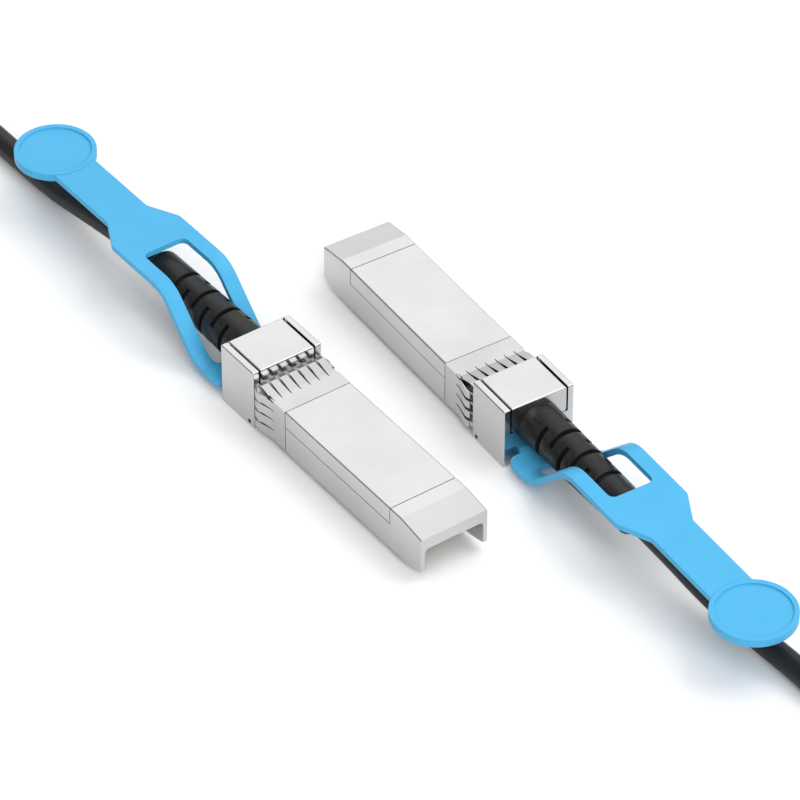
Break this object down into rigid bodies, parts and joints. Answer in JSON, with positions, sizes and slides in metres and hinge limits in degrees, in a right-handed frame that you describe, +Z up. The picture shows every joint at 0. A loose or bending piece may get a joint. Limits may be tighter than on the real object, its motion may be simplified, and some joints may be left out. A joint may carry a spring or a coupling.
{
  "type": "direct attach copper cable",
  "caption": "Round twinax cable with a small pluggable metal plug at each end; a blue pull tab behind each plug slides back to rock its latch free.",
  "frame": {"origin": "on the table, at the middle of the two plugs' common box", "axes": "+Z up from the table; +X to the right and +Y away as the plugs are seen in use; plug_a's nose points 54.24 degrees clockwise from +X and plug_b's 122.51 degrees counter-clockwise from +X"},
  "size_m": [0.1931, 0.2078, 0.0123],
  "materials": {
    "shell_metal": "nickel-plated die-cast zinc, satin",
    "spring_steel": "bright spring sheet",
    "card_laminate": "green solder mask",
    "contact_gold": "gold plating",
    "chip_plastic": "moulded epoxy",
    "capacitor_ceramic": "ceramic with tinned ends",
    "lead_foil": "foil-wrapped pair",
    "cable_jacket": "satin black jacket",
    "boot_plastic": "satin black moulding",
    "tab_plastic": "sky-blue moulding"
  },
  "bodies": {
    "cable_and_plugs": {"cable": "cable_jacket", "plug_a_lower_shell": "shell_metal", "plug_a_upper_shell": "shell_metal", "plug_a_emi_collar": "spring_steel", "plug_a_paddle_card": "card_laminate", "plug_a_contact_pads": "contact_gold", "plug_a_memory_chip": "chip_plastic", "plug_a_card_capacitors": "capacitor_ceramic", "plug_a_twinax_pairs": "lead_foil", "plug_a_cable_end": "cable_jacket", "plug_a_crimp_ring": "spring_steel", "plug_a_strain_relief": "boot_plastic", "plug_a_latch_pin": "spring_steel", "plug_a_latch_spring": "spring_steel", "plug_b_lower_shell": "shell_metal", "plug_b_upper_shell": "shell_metal", "plug_b_emi_collar": "spring_steel", "plug_b_paddle_card": "card_laminate", "plug_b_contact_pads": "contact_gold", "plug_b_memory_chip": "chip_plastic", "plug_b_card_capacitors": "capacitor_ceramic", "plug_b_twinax_pairs": "lead_foil", "plug_b_cable_end": "cable_jacket", "plug_b_crimp_ring": "spring_steel", "plug_b_strain_relief": "boot_plastic", "plug_b_latch_pin": "spring_steel", "plug_b_latch_spring": "spring_steel"},
    "plug_a_rocker": {"plug_a_latch": "spring_steel"},
    "plug_a_tab": {"plug_a_pull_tab": "tab_plastic", "plug_a_tab_slider": "spring_steel"},
    "plug_b_rocker": {"plug_b_latch": "spring_steel"},
    "plug_b_tab": {"plug_b_pull_tab": "tab_plastic", "plug_b_tab_slider": "spring_steel"}
  },
  "joints": [
    {"name": "plug_a_tab_pull", "type": "slide", "parent": "cable_and_plugs", "child": "plug_a_tab", "axis": [-0.5844, 0.8115, 0], "range_m": [0, 0.0025], "stiffness_N_per_m": 200},
    {"name": "plug_a_latch_rock", "type": "hinge", "parent": "cable_and_plugs", "child": "plug_a_rocker", "pos_m": [-0.01743, 0.00336, 0.0009], "axis": [-0.8115, -0.5844, 0], "range_deg": [0, 6.8], "deforming": ["plug_a_latch_spring"]},
    {"name": "plug_b_tab_pull", "type": "slide", "parent": "cable_and_plugs", "child": "plug_b_tab", "axis": [0.5374, -0.8433, 0], "range_m": [0, 0.0025], "stiffness_N_per_m": 200},
    {"name": "plug_b_latch_rock", "type": "hinge", "parent": "cable_and_plugs", "child": "plug_b_rocker", "pos_m": [0.02097, -0.00104, 0.0009], "axis": [0.8433, 0.5374, 0], "range_deg": [0, 6.8], "deforming": ["plug_b_latch_spring"]}
  ],
  "couplings": [
    {"joint": "plug_a_latch_rock", "follows": "plug_a_tab_pull", "rad_per_m": 47.124},
    {"joint": "plug_b_latch_rock", "follows": "plug_b_tab_pull", "rad_per_m": 47.124}
  ]
}
